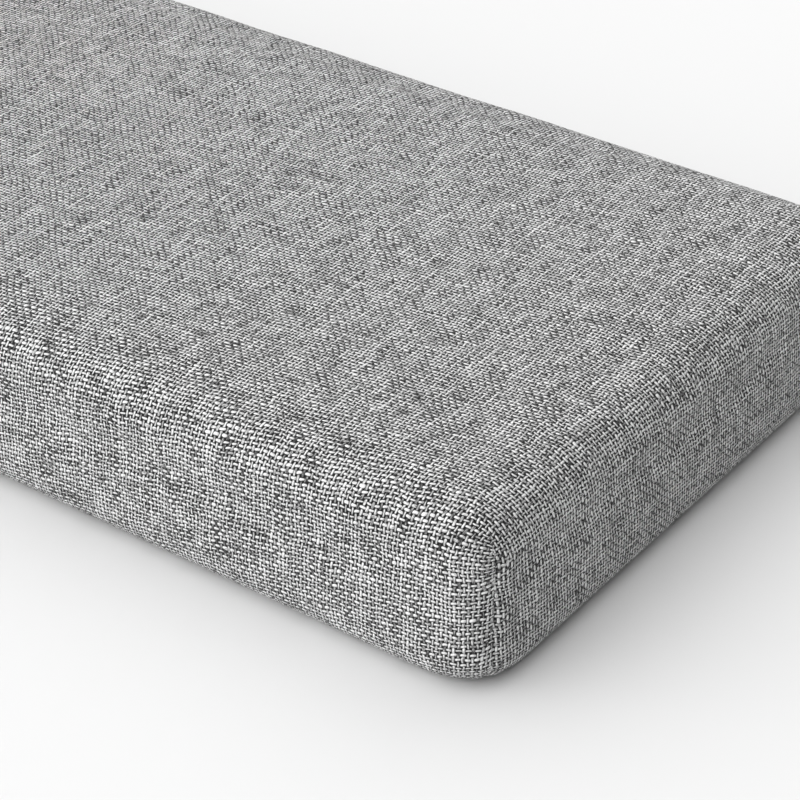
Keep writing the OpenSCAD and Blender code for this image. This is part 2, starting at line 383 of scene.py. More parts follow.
def foam():
    """Open-cell foam: a field of rounded cells, painted darker in the pores between them as shade,
    with blotches of its own tone.
    """
    recipe = Recipe("open_cell_foam")
    cells = recipe.node("ShaderNodeTexVoronoi", {"feature": "F1"}, out="Distance",
                        Vector=recipe.place(), Scale=650.0)
    blotch = recipe.noise(recipe.place(), 18.0, 3.0)
    # Painted shade in the pores where the cells dip; the blotches are the foam's own uneven tone
    amount = cells.ramp(0.1, 0.8) * 0.6 + blotch * 0.4
    colour = recipe.shade(amount, (0.88, 0.80, 0.56), (0.62, 0.53, 0.33))
    return recipe.finish(colour, 0.95, recipe.bump(1.0 - cells, 0.5 * MM),
                         Specular_IOR_Level=0.1)


def wadding():
    """Bonded fibre: stretched noise in two directions makes matted strands."""
    recipe = Recipe("bonded_wadding")
    x, y, z = recipe.parts(recipe.place())
    strand_1 = recipe.noise(recipe.point(x * 900.0, y * 120.0, z * 500.0), 1.0, 3.0)
    strand_2 = recipe.noise(recipe.point(x * 140.0, y * 800.0, z * 600.0), 1.0, 3.0)
    mat = strand_1.at_least(strand_2)
    colour = recipe.shade(mat.ramp(0.35, 0.75), (0.55, 0.55, 0.53), (0.93, 0.93, 0.91))
    return recipe.finish(colour, 0.97, recipe.bump(mat, 0.8 * MM), Specular_IOR_Level=0.1)


def lining():
    """Point-bonded film: a diamond grid of pressed dots in cloudy white fibre."""
    recipe = Recipe("point_bonded_lining")
    x, y, z = recipe.parts(recipe.place())
    u = ((x + y + z) / (1.1 * MM)).fract() - 0.5
    v = ((x - y + z) / (1.1 * MM)).fract() - 0.5
    dot = (u * u + v * v).root().ramp(0.18, 0.32)
    cloud = recipe.noise(recipe.place(), 160.0, 4.0)
    colour = recipe.shade(dot * 0.4 + cloud * 0.6, (0.55, 0.55, 0.55), (0.86, 0.86, 0.86))
    return recipe.finish(colour, 0.8, recipe.bump(dot * 0.6 + cloud * 0.4, 0.12 * MM),
                         Specular_IOR_Level=0.3)


def ribbed(name, dark, light, rib_pitch, pick_pitch, depth):
    """Narrow woven tape: ribs along its length crossed by fine picks."""
    recipe = Recipe(name)
    x, _, z = recipe.parts(recipe.place())
    rib = ((z / rib_pitch) * (2.0 * math.pi)).sin() * 0.5 + 0.5
    pick = ((x / pick_pitch + (z / rib_pitch).floor() * 0.5) * (2.0 * math.pi)).sin() * 0.5 + 0.5
    fleck = recipe.noise(recipe.place(), 1400.0, 2.0)
    amount = rib * pick * 0.6 + fleck * 0.4
    return recipe.finish(recipe.shade(amount, dark, light), 0.85,
                         recipe.bump(rib * 0.5 + pick * 0.5, depth), Specular_IOR_Level=0.2)


def sewing_thread():
    """Twisted thread: two plies wind round the stitch as slanting bands."""
    recipe = Recipe("twisted_grey_thread")
    x, y, z = recipe.parts(recipe.place())
    ply = (((x + z + y * 0.7) / (0.55 * MM)) * (2.0 * math.pi)).sin() * 0.5 + 0.5
    fuzz = recipe.noise(recipe.place(), 3000.0, 2.0)
    colour = recipe.shade(ply * 0.7 + fuzz * 0.3, (0.13, 0.13, 0.13), (0.42, 0.42, 0.42))
    return recipe.finish(colour, 0.7, recipe.bump(ply, 0.1 * MM), Specular_IOR_Level=0.35)


BASE_CLOTH = base_cloth()
GRIP_RUBBER = grip_rubber()
FOAM = foam()
WADDING = wadding()
LINING = lining()
ZIP_TAPE = ribbed("zip_tape_weave", (0.02, 0.02, 0.021), (0.13, 0.13, 0.133),
                  1.3 * MM, 0.9 * MM, 0.12 * MM)
LABEL_TAPE = ribbed("blank_label_satin", (0.62, 0.62, 0.6), (0.9, 0.9, 0.88),
                    0.35 * MM, 1.0 * MM, 0.04 * MM)
THREAD = sewing_thread()
print("soft finishes ready")


# %% Hard finishes
def coil_nylon():
    """Smooth monofilament: dark, glossy, with faint rub marks on its crowns."""
    recipe = Recipe("coil_nylon")
    rub = recipe.noise(recipe.place(), 420.0, 3.0)
    colour = recipe.shade(rub, (0.03, 0.03, 0.032), (0.11, 0.11, 0.115))
    return recipe.finish(colour, 0.24 + rub * 0.25, recipe.bump(rub, 0.02 * MM))


def plated_metal():
    """Satin plating: fine brushing along the zip, with cloudy dull patches."""
    recipe = Recipe("satin_plated_zip_metal")
    x, y, z = recipe.parts(recipe.place())
    brush = recipe.noise(recipe.point(x * 300.0, y * 5000.0, z * 5000.0), 1.0, 2.0)
    cloud = recipe.noise(recipe.place(), 700.0, 3.0)
    colour = recipe.shade(cloud, (0.36, 0.36, 0.37), (0.60, 0.60, 0.62))
    return recipe.finish(colour, 0.22 + cloud * 0.25, recipe.bump(brush, 0.02 * MM), Metallic=1.0)


COIL_NYLON = coil_nylon()
ZIP_METAL = plated_metal()
print("hard finishes ready")

# %% [markdown]
# ## Sewn surfaces from one edge profile
# A cushion cover is a flat sheet folded down over four walls. So every layer of the pad is
# described by one edge profile: how far it reaches out from the flat top, and how high it is,
# at each step down. The top is a rectangle, each wall carries the profile along a straight
# line, and each corner turns it through a quarter circle. The map of every patch is the flat
# cloth itself, in metres, so yarns run unbroken from the top down each wall. A quarter turn
# has less cloth at its foot than two walls bring to it: that surplus is the dart, and the two
# halves of a corner therefore carry the maps of their own walls and meet at the seam.


# %% Patches of the folded sheet
def smooth_step(value, low, high):
    """0 up to low, 1 from high, and a smooth rise between them."""
    share = np.clip((value - low) / (high - low), 0, 1)
    return share * share * (3 - 2 * share)


def edge_profile(run, reach, low, high, top_r, base_r):
    """Reach and height at a distance run down from the flat top's edge.

    A quarter circle of top_r, an upright wall, then a quarter circle of base_r inwards.
    """
    arc = top_r * math.pi / 2
    wall = high - low - top_r - base_r
    turn = np.clip(run / top_r, 0, math.pi / 2)
    drop = np.clip(run - arc, 0, wall)
    curl = np.clip((run - arc - wall) / base_r, 0, math.pi / 2)
    out = reach - top_r + top_r * np.sin(turn) - base_r * (1 - np.cos(curl))
    height = high - top_r * (1 - np.cos(turn)) - drop - base_r * np.sin(curl)
    return out, height


def spans(*stops_and_counts):
    """Knots from stop, count, stop, count, ... stop: evenly spaced between neighbouring stops."""
    stops = stops_and_counts[0::2]
    counts = stops_and_counts[1::2]
    pieces = [np.linspace(a, b, n + 1)[:-1] for a, b, n in zip(stops, stops[1:], counts)]
    return np.concatenate([*pieces, [stops[-1]]])


def folded_sheet(flat_x, flat_y, x_knots, y_knots, turns, out, height, run, darted=0.0):
    """Patches (points, map, flipped) of a flat top, four walls and eight half corners.

    out, height and run give the edge profile. turns holds the shares of a quarter turn from
    the long wall to the seam, and from the short wall to the seam. darted goes from 0 to 1 at
    each step down: the corner's map is the plain flat cloth at 0, and each half has the map of
    its own wall at 1.
    """
    patches = []
    gx, gy = np.meshgrid(x_knots, y_knots, indexing="ij")
    top = np.stack([gx, gy, np.full_like(gx, height[0])], -1)
    patches.append((top, np.stack([gx, gy], -1), False))
    for side in (-1, 1):
        gx, go = np.meshgrid(x_knots, out, indexing="ij")
        gz = np.broadcast_to(height, gx.shape)
        gr = np.broadcast_to(run, gx.shape)
        wall = np.stack([gx, side * (flat_y + go), gz], -1)
        patches.append((wall, np.stack([gx, side * (flat_y + gr)], -1), side < 0))
        gy, go = np.meshgrid(y_knots, out, indexing="ij")
        gz = np.broadcast_to(height, gy.shape)
        gr = np.broadcast_to(run, gy.shape)
        wall = np.stack([side * (flat_x + go), gy, gz], -1)
        patches.append((wall, np.stack([side * (flat_x + gr), gy], -1), side > 0))
    cut = np.broadcast_to(darted, run.shape)[None, :, None]
    corners = [(sx, sy, half) for sx in (-1, 1) for sy in (-1, 1) for half in (0, 1)]
    for sx, sy, half in corners:
        angle, go = np.meshgrid(turns[half] * math.pi / 2, out, indexing="ij")
        gz = np.broadcast_to(height, angle.shape)
        gr = np.broadcast_to(run, angle.shape)
        # half 0 turns away from the long wall, half 1 from the short one
        aim_x, aim_y = (np.sin(angle), np.cos(angle))[::1 - 2 * half]
        wall_x, wall_y = (go * angle, gr)[::1 - 2 * half]
        place = [sx * (flat_x + go * aim_x), sy * (flat_y + go * aim_y)]
        plain = np.stack([sx * (flat_x + gr * aim_x), sy * (flat_y + gr * aim_y)], -1)
        walled = np.stack([sx * (flat_x + wall_x), sy * (flat_y + wall_y)], -1)
        flat = plain + (walled - plain) * cut
        patches.append((np.stack([*place, gz], -1), flat, sx * sy * (1 - 2 * half) < 0))
    return patches


def upside_down(patches, z):
    """The same patches laid flat at height z, facing down."""
    return [(np.concatenate([p[..., :2], np.full_like(p[..., 2:], z)], -1), m, not flipped)
            for p, m, flipped in patches]


# %% Weld patches into one mesh
def weld(patches):
    """Points, four-sided faces and their map corners, with coincident points made one."""
    points, faces, corners, start = [], [], [], 0
    for place, flat, flipped in patches:
        n, m = place.shape[:2]
        index = start + np.arange(n * m).reshape(n, m)
        quad = np.stack([index[:-1, :-1], index[1:, :-1], index[1:, 1:], index[:-1, 1:]], -1)
        quad = quad.reshape(-1, 4)
        if flipped:
            quad = quad[:, ::-1]
        points.append(place.reshape(-1, 3))
        corners.append(flat.reshape(-1, 2)[quad - start])
        faces.append(quad)
        start += n * m
    points = np.concatenate(points)
    faces = np.concatenate(faces)
    keys = np.round(points / (0.01 * MM)).astype(np.int64)
    _, first, inverse = np.unique(keys, axis=0, return_index=True, return_inverse=True)
    return points[first], inverse.reshape(-1)[faces], np.concatenate(corners)


def outward(p, quads):
    """Unit normals of the welded points: the summed cross products of their faces."""
    a, b, c, d = (p[quads[:, k]] for k in range(4))
    area = np.cross(c - a, d - b)
    total = np.zeros_like(p)
    for k in range(4):
        np.add.at(total, quads[:, k], area)
    return total / np.linalg.norm(total, axis=1, keepdims=True).clip(1e-12)


def add_mesh(name, points, faces, corners=None, material=None):
    """A smooth mesh object from four-sided faces; one with a collapsed edge becomes a triangle."""
    used, compact = np.unique(faces, return_inverse=True)
    faces = compact.reshape(faces.shape)
    points = points[used]
    first_pair = faces[:, 0] == faces[:, 1]
    last_pair = faces[:, 2] == faces[:, 3]
    whole = ~(first_pair | last_pair)
    keep_last = [1, 2, 3]
    keep_first = [0, 1, 2]
    listed = (faces[whole].tolist() + faces[first_pair][:, keep_last].tolist()
              + faces[last_pair][:, keep_first].tolist())
    mesh = bpy.data.meshes.new(name)
    mesh.from_pydata(points.tolist(), [], listed)
    if corners is not None:
        flat = np.concatenate([corners[whole].reshape(-1, 2),
                               corners[first_pair][:, keep_last].reshape(-1, 2),
                               corners[last_pair][:, keep_first].reshape(-1, 2)])
        layer = mesh.uv_layers.new(name="flat_cloth")
        layer.data.foreach_set("uv", flat.astype(np.float32).ravel())
    mesh.polygons.foreach_set("use_smooth", [True] * len(mesh.polygons))
    mesh.validate()
    mesh.update()
    made = bpy.data.objects.new(name, mesh)
    bpy.context.scene.collection.objects.link(made)
    if material is not None:
        mesh.materials.append(material)
    return made


def thicken(piece, thickness):
    """Gives an open sheet its thickness, inwards from the shown face."""
    wall = piece.modifiers.new("thickness", "SOLIDIFY")
    wall.thickness = thickness
    wall.offset = -1.0


def copies(one_points, one_faces, shifts):
    """One small mesh repeated at every shift, as whole arrays."""
    all_points = (one_points[None] + shifts[:, None]).reshape(-1, 3)
    first = np.arange(len(shifts)) * len(one_points)
    return all_points, (one_faces[None] + first[:, None, None]).reshape(-1, 4)


print("sheet helpers ready")

# %% [markdown]
# ## The cover as a folded sheet
# The grid lines are placed where the sewing needs them: on the edges of the zip opening, and
# closer together beside each corner seam. The seam lies two thirds of the way round from the
# long wall. At the foot the cloth curls under, then turns up into the seam that joins it to the
# underside.

# %% Grid of the cover
ARC_TOP = EDGE_R * math.pi / 2
WALL_H = HEIGHT - EDGE_R - BASE_R
ARC_BASE = BASE_R * math.pi / 2
RUN_CUT_TOP = ARC_TOP + HEIGHT - EDGE_R - (ZIP_Z + CUT_HALF_H)
RUN_CUT_FOOT = RUN_CUT_TOP + 2 * CUT_HALF_H
WALL_STRETCH = 1.08  # how much the cloth is stretched down the walls
x_knots = spans(-FLAT_X, 11, -SLOT_HALF_L, 120, SLOT_HALF_L, 11, FLAT_X)
y_knots = spans(-FLAT_Y, 50, FLAT_Y)
run = spans(0.0, 10, ARC_TOP, 5, RUN_CUT_TOP, 4, RUN_CUT_FOOT, 3,
            ARC_TOP + WALL_H, 7, ARC_TOP + WALL_H + ARC_BASE)
out, height = edge_profile(run, EDGE_R, 0.0, HEIGHT, EDGE_R, BASE_R)
turned_up_out = EDGE_R - BASE_R - np.array([0.5, 0.8]) * MM
out = np.concatenate([out, turned_up_out])
height = np.concatenate([height, np.array([0.35, 1.0]) * MM])
run = np.concatenate([run, run[-1] + np.array([0.6, 1.3]) * MM])
SEAM_TURN = 2 / 3
near_turns = SEAM_TURN * np.array([0, 0.2, 0.4, 0.56, 0.7, 0.8, 0.87, 0.93, 0.97, 1.0])
far_turns = (1 - SEAM_TURN) * np.array([0, 0.3, 0.55, 0.75, 0.88, 0.95, 1.0])
turns = (near_turns, far_turns)
cover_patches = folded_sheet(FLAT_X, FLAT_Y, x_knots, y_knots, turns, out, height,
                             run / WALL_STRETCH, smooth_step(run, 0.4 * ARC_TOP, 1.1 * ARC_TOP))
cap_out = np.linspace(0, out[-1], 3)
cap = upside_down(folded_sheet(FLAT_X, FLAT_Y, x_knots, y_knots, turns, cap_out,
                               np.zeros(3), cap_out), height[-1])
cover_face_count = len(weld(cover_patches)[1])
points, faces, corners = weld(cover_patches + cap)
print("cover grid:", len(points), "points,", len(faces), "faces with its cap")

# %% [markdown]
# ## Filling the cover out
# Foam and wadding press on the cloth from inside. A short cloth simulation with air pressure
# shows where tight cloth gives: most in the middle of the top, less towards the corners, and
# not at all where it is sewn down at the foot. Only that pattern is used, and its depth is
# limited to what firm foam allows, because a cushion blown up like a balloon would look wrong.

# %% Pressure pattern
SWELL_LIMIT = 2.2 * MM
PRESSURE = 4
FRAMES = 20
HELD_BELOW = 3 * MM  # the foot is sewn down, so it does not move


def pressed_out(start, quads, held):
    """How far cloth points move in a short simulation with pressure inside and no gravity."""
    sheet = add_mesh("pressure_trial", start, quads)
    group = sheet.vertex_groups.new(name="held")
    group.add(np.flatnonzero(held).tolist(), 1.0, "REPLACE")
    cloth = sheet.modifiers.new("cloth", "CLOTH")
    cloth.settings.quality = 6
    cloth.settings.mass = 0.3
    cloth.settings.tension_stiffness = 40
    cloth.settings.compression_stiffness = 40
    cloth.settings.shear_stiffness = 20
    cloth.settings.bending_stiffness = 2
    cloth.settings.use_pressure = True
    cloth.settings.uniform_pressure_force = PRESSURE
    cloth.settings.effector_weights.gravity = 0
    cloth.settings.vertex_group_mass = "held"
    cloth.collision_settings.use_collision = False
    scene = bpy.context.scene
    for step in range(1, FRAMES + 1):
        scene.frame_set(step)
    shown = sheet.evaluated_get(bpy.context.evaluated_depsgraph_get()).data
    moved = np.empty(len(shown.vertices) * 3)
    shown.vertices.foreach_get("co", moved)
    bpy.data.objects.remove(sheet)
    scene.frame_set(1)
    return moved.reshape(-1, 3) - start


normals = outward(points, faces)
pattern = pressed_out(points, faces, points[:, 2] < HELD_BELOW)
# Firm foam lets the cloth out but never in, so only the outward part counts
rise = (pattern * normals).sum(1).clip(0)
swell = rise * SWELL_LIMIT / (SWELL_LIMIT + rise)
beside_zip = smooth_step(np.abs(points[:, 0]), SLOT_HALF_L, SLOT_HALF_L + 20 * MM)
off_zip_line = smooth_step(np.abs(points[:, 2] - ZIP_Z), 8 * MM, 20 * MM)
near_zip = (1 - beside_zip) * (1 - off_zip_line) * (points[:, 1] > FLAT_Y)
swell = swell * (1 - near_zip) * smooth_step(points[:, 2], 0, 12 * MM)
print(f"swelling: up to {rise.max() / MM:.1f} mm before the limit, {swell.max() / MM:.2f} mm after")

# %% [markdown]
# ## Seams, puckers and hand
# A corner seam pulls the cloth in along one line, lifts it either side where the allowance
# lies underneath, and gathers small puckers. The rest of the cover is tight but not perfect,
# so slow waves of a fraction of a millimetre run through it. The corners narrow towards the
# foot, where the seam round the underside draws them together.

# %% Shape of the corner seams
SEAM_DEPTH = 0.45 * MM
SEAM_HALF_W = 1.2 * MM
SHOULDER_AT = 3.6 * MM
SHOULDER_UP = 0.20 * MM
SHOULDER_HALF_W = 1.8 * MM
PUCKER = 0.14 * MM
PUCKER_PITCH = 8.5 * MM
PUCKER_REACH = 5 * MM
WAVE = 0.16 * MM


def seam_relief(p):
    """Outward offset near the corner seams, from the arc distance to the seam."""
    dx = np.clip(np.abs(p[:, 0]) - FLAT_X, 0, None)
    dy = np.clip(np.abs(p[:, 1]) - FLAT_Y, 0, None)
    radius = np.hypot(dx, dy)
    arc = (np.arctan2(dx, dy + 1e-9) - SEAM_TURN * math.pi / 2) * radius
    sewn = smooth_step(HEIGHT - p[:, 2], 0.5 * EDGE_R, 1.1 * EDGE_R) * (dx > 0) * (dy > 0)
    groove = -SEAM_DEPTH * np.exp(-(arc / SEAM_HALF_W) ** 2)
    shoulder = SHOULDER_UP * np.exp(-((np.abs(arc) - SHOULDER_AT) / SHOULDER_HALF_W) ** 2)
    gather = np.sin(2 * math.pi * p[:, 2] / PUCKER_PITCH + 0.8 * np.sign(arc))
    pucker = PUCKER * gather * np.exp(-np.abs(arc) / PUCKER_REACH)
    return (groove + shoulder + pucker) * sewn


def slow_waves(p, count=9, seed=11):
    """Sum of sine waves with seeded directions and wavelengths of 30 to 120 mm."""
    rng = np.random.default_rng(seed)
    aim = rng.normal(size=(count, 3))
    aim /= np.linalg.norm(aim, axis=1, keepdims=True)
    length = rng.uniform(30 * MM, 120 * MM, count)
    phase = rng.uniform(0, 2 * math.pi, count)
    waves = np.sin(p @ aim.T * (2 * math.pi / length) + phase)
    return waves.sum(1) / math.sqrt(count)


DRAWN_R = 24 * MM
DRAWN_TOP = 13 * MM  # height at which the narrowing starts


def draw_in(p):
    """Corners narrowed towards the foot, where their plan radius grows to DRAWN_R.

    Each point keeps its direction from the centre of the wider arc, and its distance is
    scaled by DRAWN_R over the distance from there to the outline of the walls.
    """
    dx = np.abs(p[:, 0]) - (HALF_L - DRAWN_R)
    dy = np.abs(p[:, 1]) - (HALF_D - DRAWN_R)
    far = np.hypot(dx, dy) + 1e-9
    wider = DRAWN_R - EDGE_R
    most = np.maximum(dx, dy) / far
    least = np.minimum(dx, dy) / far
    along = wider * (most + least)
    on_arc = along + np.sqrt(np.clip(along ** 2 - 2 * wider ** 2 + EDGE_R ** 2, 0, None))
    on_wall = DRAWN_R / most.clip(0.1)
    edge = np.where(least * on_wall < wider, on_wall, on_arc)
    share = (dx > 0) & (dy > 0)
    share = share * smooth_step(far, 0.2 * DRAWN_R, 0.6 * DRAWN_R)
    share = share * (1 - smooth_step(p[:, 2], 0, DRAWN_TOP))
    change = (DRAWN_R / edge - 1) * share
    moved = p.copy()
    moved[:, 0] += np.sign(p[:, 0]) * dx * change
    moved[:, 1] += np.sign(p[:, 1]) * dy * change
    return moved


offset = seam_relief(points) + swell
offset += slow_waves(points) * WAVE * (1 - near_zip) * smooth_step(points[:, 2], 2 * MM, 14 * MM)
shaped = draw_in(points) + normals * offset[:, None]
shaped[:, 2] = np.maximum(shaped[:, 2], 0)
print(f"seams, waves and swelling from {offset.min() / MM:.2f} to {offset.max() / MM:.2f} mm")

# %% The cover itself
middle = points[faces].mean(1)
on_back = middle[:, 1] > HALF_D - 1 * MM
along_slot = np.abs(middle[:, 0]) < SLOT_HALF_L
across_slot = np.abs(middle[:, 2] - ZIP_Z) < CUT_HALF_H
is_cover = np.arange(len(faces)) < cover_face_count
kept = is_cover & ~(on_back & along_slot & across_slot)
cover = add_mesh("sewn_cover", shaped, faces[kept], corners[kept], COVER_CLOTH)
thicken(cover, FABRIC_T)
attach(cover, "pad")
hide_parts("cover_top")
print("sewn_cover:", len(cover.data.polygons), "faces")

# %% [markdown]
# ## The hems of the zip opening
# The raw edge above and below the zip is folded under and sewn down. Each hem carries a short
# profile along the opening: a half circle that starts flush with the cover's cut edge, then a
# flat leg behind it. Its map runs on from the map of the wall, so the yarns turn the fold.

# %% Zip hems
FOLD_R = FABRIC_T
LEG = 7 * MM
HEM_T = 0.3 * MM
bend = np.linspace(0, math.pi, 9)
along_x = np.linspace(-SLOT_HALF_L, SLOT_HALF_L, 97)
for side, name, run_at_cut in ((1, "zip_hem_upper", RUN_CUT_TOP),
                               (-1, "zip_hem_lower", RUN_CUT_FOOT)):
    fold_y = HALF_D - FOLD_R + FOLD_R * np.cos(bend)
    fold_z = ZIP_Z + side * (CUT_HALF_H - FOLD_R * np.sin(bend))
    profile_y = np.append(fold_y, HALF_D - 2 * FOLD_R)
    profile_z = np.append(fold_z, ZIP_Z + side * (CUT_HALF_H + LEG))
    length = np.append(FOLD_R * bend, FOLD_R * math.pi + LEG)
    gx, gy = np.meshgrid(along_x, profile_y, indexing="ij")
    gz = np.broadcast_to(profile_z, gx.shape)
    gv = np.broadcast_to(FLAT_Y + (run_at_cut + side * length) / WALL_STRETCH, gx.shape)
    strip = (np.stack([gx, gy, gz], -1), np.stack([gx, gv], -1), side < 0)
    hem = add_mesh(name, *weld([strip]), COVER_CLOTH)
    thicken(hem, HEM_T)
    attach(hem, "pad")
print("two hems")

# %% [markdown]
# ## The underside
# The base cloth is a flat panel that lies between the curls of the cover, with rows of printed
# rubber dots that stop the pad sliding. Each dot is a low dome, the revolution of a short
# profile, and the whole field is one array of copies in staggered rows. Inside the seam runs a
# flat ring, the turned-in edge of the cover, which follows the same narrowed corners.

# %% Base panel
DOT_R = 2.2 * MM
DOT_H = 0.45 * MM
DOT_PITCH = 11 * MM
BASE_T = 0.5 * MM
base_x = spans(-FLAT_X, 60, FLAT_X)
base_y = spans(-FLAT_Y, 20, FLAT_Y)
quarter = np.linspace(0, 0.5, 4)
base_out = np.array([0.0, 2.0, 3.6, 4.5, 5.0, 5.15]) * MM
base_z = np.array([DOT_H, DOT_H, DOT_H, DOT_H + 0.05 * MM, DOT_H + 0.3 * MM, 1.2 * MM])
base_patches = folded_sheet(FLAT_X, FLAT_Y, base_x, base_y, (quarter, quarter), base_out, base_z,
                            base_out)
base_patches = [(p, m, not flipped) for p, m, flipped in base_patches]
base_points, base_faces, base_map = weld(base_patches)
base = add_mesh("base_panel", draw_in(base_points), base_faces, base_map, BASE_CLOTH)
thicken(base, BASE_T)
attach(base, "pad")
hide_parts("cover_base")
print("base panel:", len(base_faces), "faces")

# %% Turned-in edge inside the seam
ring_low, ring_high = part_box("base_seam_allowance")
RING_W = 3.4 * MM
ring_out = ring_high.x - FLAT_X - RING_W * np.array([1.0, 0.5, 0.0])
ring_walls = folded_sheet(FLAT_X, FLAT_Y, base_x, base_y, (quarter, quarter), ring_out,
                          np.full(3, ring_high.z), ring_out)[1:]
ring_points, ring_faces, ring_map = weld(ring_walls)
turned_edge = add_mesh("turned_in_edge", draw_in(ring_points), ring_faces, ring_map, COVER_CLOTH)
thicken(turned_edge, ring_high.z - ring_low.z)
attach(turned_edge, "pad")
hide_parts("base_seam_allowance")
print("turned-in edge:", len(ring_faces), "faces")


# %% Grip dots
def dome_field(centres, radius, rise, z_foot, sides=10, rings=3):
    """Domes that hang down from z_foot: radius * sin(a) out and rise * cos(a) down."""
    slope = np.linspace(0, math.pi / 2, rings + 1)
    turn = np.linspace(0, 2 * math.pi, sides + 1)
    gs, gt = np.meshgrid(slope, turn, indexing="ij")
    dome = np.stack([radius * np.sin(gs) * np.cos(gt), radius * np.sin(gs) * np.sin(gt),
                     z_foot - rise * np.cos(gs)], -1)
    one_points, one_faces, _ = weld([(dome, dome[..., :2], True)])
    return copies(one_points, one_faces, np.concatenate([centres, np.zeros((len(centres), 1))], 1))


rows = np.arange(-FLAT_Y + 4 * MM, FLAT_Y - 4 * MM, DOT_PITCH * math.sqrt(3) / 2)
columns = np.arange(-FLAT_X + 6 * MM, FLAT_X - 6 * MM, DOT_PITCH)
dot_x, dot_y = np.meshgrid(columns, rows)
dot_x = dot_x + (np.arange(len(rows)) % 2)[:, None] * DOT_PITCH / 2
centres = np.stack([dot_x.ravel(), dot_y.ravel()], -1)
dots = add_mesh("grip_dots", *dome_field(centres, DOT_R, DOT_H, DOT_H), None, GRIP_RUBBER)
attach(dots, "pad")
print(len(centres), "grip dots")

# %% [markdown]
# ## Foam, wadding and lining
# They are out of sight, but the pad comes apart in the library, so each is a real layer. All
# three use the same folded-sheet function, with a bottom as well as a top. The wadding and
# the lining give way behind the zip, so the slider has room to run.


# %% Inner layers
def zip_dent(p, depth):
    """Moves the back wall in by depth behind the zip, fading out round it."""
    wide = 1 - smooth_step(np.abs(p[:, 0]), coil_high.x + 15 * MM, coil_high.x + 30 * MM)
    tall = 1 - smooth_step(np.abs(p[:, 2] - ZIP_Z), 15.5 * MM, 19 * MM)
    back = smooth_step(p[:, 1], FLAT_Y, FLAT_Y + 8 * MM)
    moved = p.copy()
    moved[:, 1] -= depth * wide * tall * back
    return moved


def soft_block(name, node, radius, cell, dent, wave, material, seed):
    """A closed rounded block in a measured layer's box, with slow waves on its faces."""
    low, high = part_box(node)
    flat_x = high.x - radius
    flat_y = high.y - radius
    arc = radius * math.pi / 2
    wall = high.z - low.z - 2 * radius
    steps = spans(0.0, 6, arc, max(2, round(wall / cell)), arc + wall, 6, 2 * arc + wall)
    reach, tall = edge_profile(steps, radius, low.z, high.z, radius, radius)
    xs = spans(-flat_x, round(2 * flat_x / cell), flat_x)
    ys = spans(-flat_y, round(2 * flat_y / cell), flat_y)
    corner = (np.linspace(0, 0.5, 5),) * 2
    patches = folded_sheet(flat_x, flat_y, xs, ys, corner, reach, tall, steps)
    under = np.stack(np.meshgrid(xs, ys, indexing="ij"), -1)
    bottom = np.concatenate([under, np.full_like(under[..., :1], low.z)], -1)
    patches.append((bottom, under, True))
    p, quads, flat = weld(patches)
    waves = slow_waves(p, seed=seed) * wave
    p = zip_dent(p + outward(p, quads) * (waves - wave * 1.6)[:, None], dent)
    return add_mesh(name, p, quads, flat, material)


WADDING_T = 2.4 * MM
LINING_T = 0.25 * MM
ZIP_DENT = 2.0 * MM
foam_block = soft_block("foam_block", "foam_core", radius=8 * MM, cell=10 * MM, dent=0.0,
                        wave=0.12 * MM, material=FOAM, seed=3)
wadding_layer = soft_block("wadding_layer", "wadding_wrap", radius=13.2 * MM, cell=7 * MM,
                           dent=ZIP_DENT, wave=0.12 * MM, material=WADDING, seed=5)
thicken(wadding_layer, WADDING_T)
lining_bag = soft_block("lining_bag", "inner_lining", radius=13.8 * MM, cell=7 * MM,
                        dent=ZIP_DENT, wave=0.10 * MM, material=LINING, seed=7)
thicken(lining_bag, LINING_T)
inner = ((foam_block, "foam_core", "foam"), (wadding_layer, "wadding_wrap", "wadding"),
         (lining_bag, "inner_lining", "lining"))
for piece, node, slot in inner:
    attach(piece, "pad")
    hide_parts(node)
print("inner layers:", [piece.name for piece, _, _ in inner])

# %% [markdown]
# ## The nylon coil
# Each row of the zip is one filament wound into a flat helix and sewn to its tape. The path
# is an ellipse in the zip's cross-section that moves on by one pitch a turn, and a tube is
# carried round it. Where the rows are meshed, each loop's swollen head lies between two heads
# of the other row: those heads are a piece of their own, laid from the end of the coil up to
# the slider.

# %% Coil rows
COIL_PITCH = 1.5 * MM
WIRE_R = 0.34 * MM
HEAD_REACH = 0.55 * MM  # from the zip's centre line to the nearer side of a row
tape_face = coil_low.y
coil_top = coil_high.y
coil_outer = coil_high.z - ZIP_Z


def wound(half_length, centre_y, centre_z, half_y, half_z, start, per_turn=10, sides=6):
    """Rings of points round a flat helix that starts at an angle of start.

    The path is centre + (pitch * t, half_y * sin(2 pi t), half_z * cos(2 pi t)), and the ring
    at each step lies in the plane of the path's normal and the cross product with its tangent.
    """
    turns_made = 2 * half_length / COIL_PITCH
    t = np.linspace(0, turns_made, int(turns_made * per_turn) + 1)
    a = 2 * math.pi * t + start
    path = np.stack([COIL_PITCH * t - half_length, centre_y + half_y * np.sin(a),
                     centre_z + half_z * np.cos(a)], -1)
    tangent = np.gradient(path, axis=0)
    tangent /= np.linalg.norm(tangent, axis=1, keepdims=True)
    side = np.cross(tangent, [1.0, 0.0, 0.0])
    side /= np.linalg.norm(side, axis=1, keepdims=True)
    rise = np.cross(tangent, side)
    ring = np.linspace(0, 2 * math.pi, sides + 1)
    return path[:, None] + WIRE_R * (side[:, None] * np.cos(ring)[None, :, None]
                                     + rise[:, None] * np.sin(ring)[None, :, None])


def closed_tube(rings):
    """Points and faces of a tube through rings of points, with each end drawn to a point."""
    first = np.broadcast_to(rings[0].mean(0), rings[0].shape)
    last = np.broadcast_to(rings[-1].mean(0), rings[-1].shape)
    rings = np.concatenate([first[None], rings, last[None]])
    return weld([(rings, rings[..., :2], False)])[:2]


